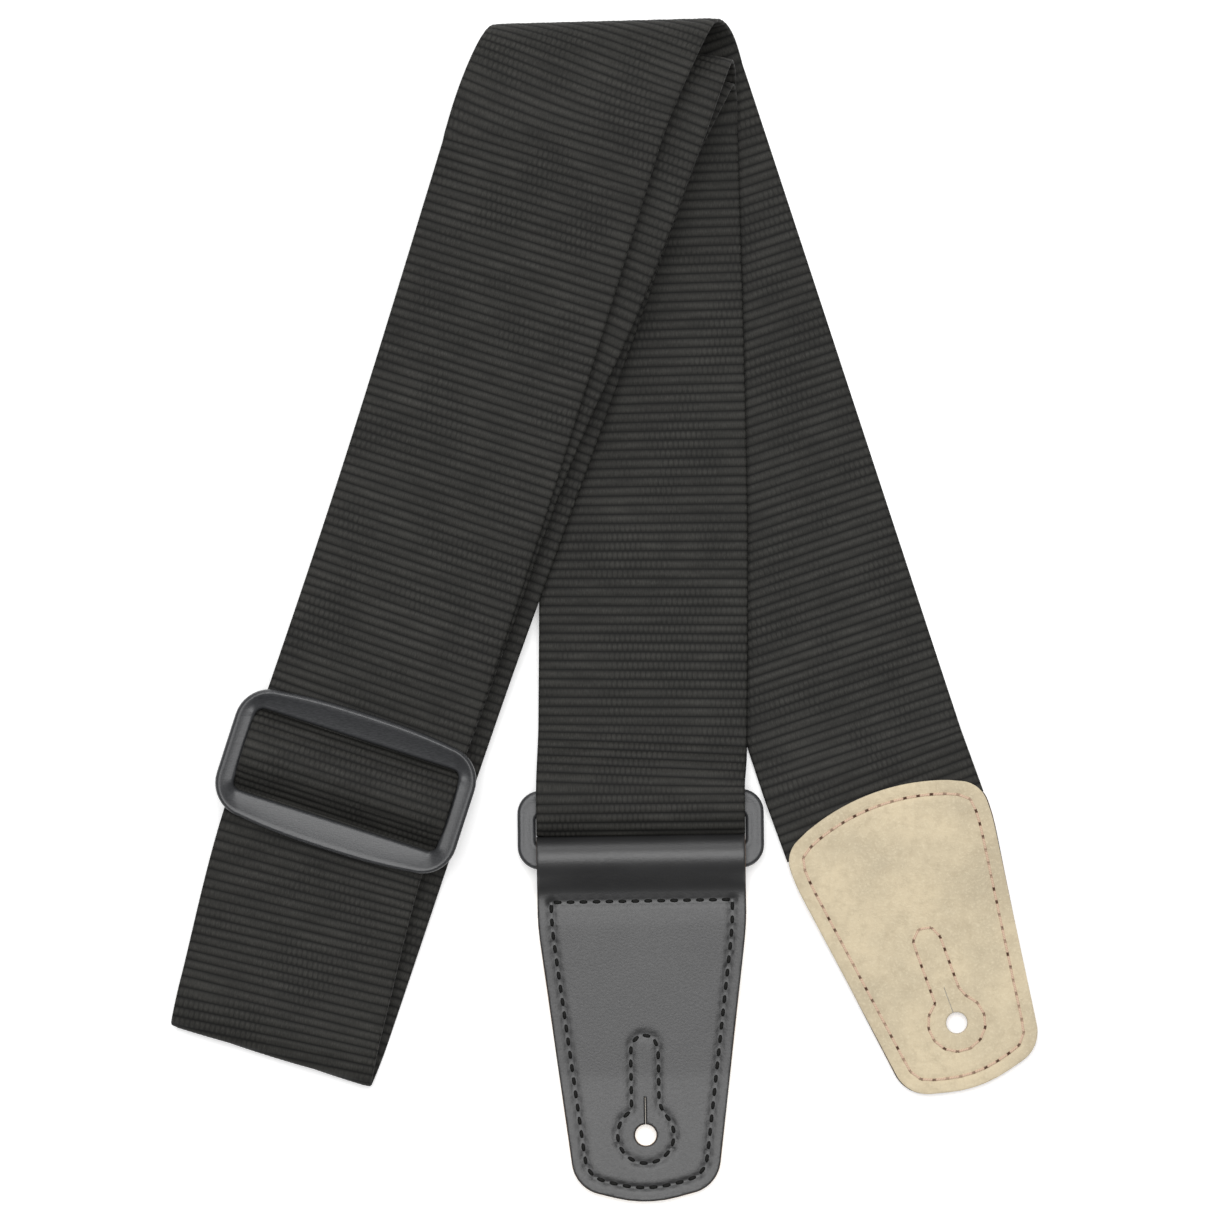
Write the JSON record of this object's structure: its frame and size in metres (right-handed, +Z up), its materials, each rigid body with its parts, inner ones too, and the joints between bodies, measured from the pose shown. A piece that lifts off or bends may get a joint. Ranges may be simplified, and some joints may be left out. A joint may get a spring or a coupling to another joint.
{
  "type": "guitar strap",
  "caption": "Folded guitar strap of wide woven webbing with a three-bar slider, a rectangular ring and leather ends with slotted button holes.",
  "frame": {"origin": "centre of the bottom face of the folded strap's bounding box, on the surface it lies on", "axes": "+Z up from the surface, +Y towards the webbing's three top folds, +X towards the right tab, which lies face down"},
  "size_m": [0.2078, 0.2833, 0.0249],
  "materials": {
    "webbing": "woven, matte",
    "plastic": "moulded, finely brushed",
    "leather": "smooth, semi-matte",
    "suede": "napped flesh side",
    "black_thread": "twisted thread",
    "tan_thread": "twisted thread"
  },
  "bodies": {
    "root": {"webbing_right_run": "webbing", "webbing_tab_flex": "webbing", "webbing_outer_fold": "webbing", "webbing_front_upper": "webbing", "webbing_front_lower": "webbing", "webbing_lower_fold": "webbing", "webbing_return_run": "webbing", "webbing_inner_fold": "webbing", "webbing_middle_fold": "webbing", "webbing_centre_front": "webbing", "webbing_centre_back": "webbing", "webbing_ring_turn": "webbing", "webbing_sewn_run": "webbing"},
    "slider": {"slider_frame": "plastic", "webbing_slider_pass": "webbing", "webbing_sewn_end": "webbing", "sewn_end_stitching": "black_thread"},
    "ring": {"ring": "plastic"},
    "tab_b": {"tab_b_face_leather": "leather", "tab_b_suede_back": "suede", "tab_b_face_border_thread": "black_thread", "tab_b_face_keyhole_thread": "black_thread", "tab_b_back_border_thread": "tan_thread", "tab_b_back_keyhole_thread": "tan_thread"},
    "tab_a": {"webbing_tab_end": "webbing", "tab_a_face_leather": "leather", "tab_a_suede_back": "suede", "tab_a_face_border_thread": "black_thread", "tab_a_face_keyhole_thread": "black_thread", "tab_a_back_border_thread": "tan_thread", "tab_a_back_keyhole_thread": "tan_thread"}
  },
  "joints": [
    {"name": "slider_slide", "type": "slide", "parent": "root", "child": "slider", "axis": [0.3064, 0.9487, 0.0783], "range_m": [-0.03, 0.1], "deforming": ["webbing_front_upper", "webbing_front_lower", "webbing_sewn_run"]},
    {"name": "ring_swing", "type": "hinge", "parent": "root", "child": "ring", "pos_m": [0.00874, -0.04605, 0.0053], "axis": [-0.9999, -0.0105, 0], "range_deg": [-80, 80]},
    {"name": "tab_b_swing", "type": "hinge", "parent": "ring", "child": "tab_b", "pos_m": [0.00888, -0.05895, 0.0053], "axis": [-0.9998, -0.0174, 0], "range_deg": [-80, 80]},
    {"name": "tab_a_flex", "type": "hinge", "parent": "root", "child": "tab_a", "pos_m": [0.063, -0.0397, 0.00255], "axis": [-0.9397, -0.342, 0], "range_deg": [-80, 80], "deforming": ["webbing_tab_flex"]}
  ]
}
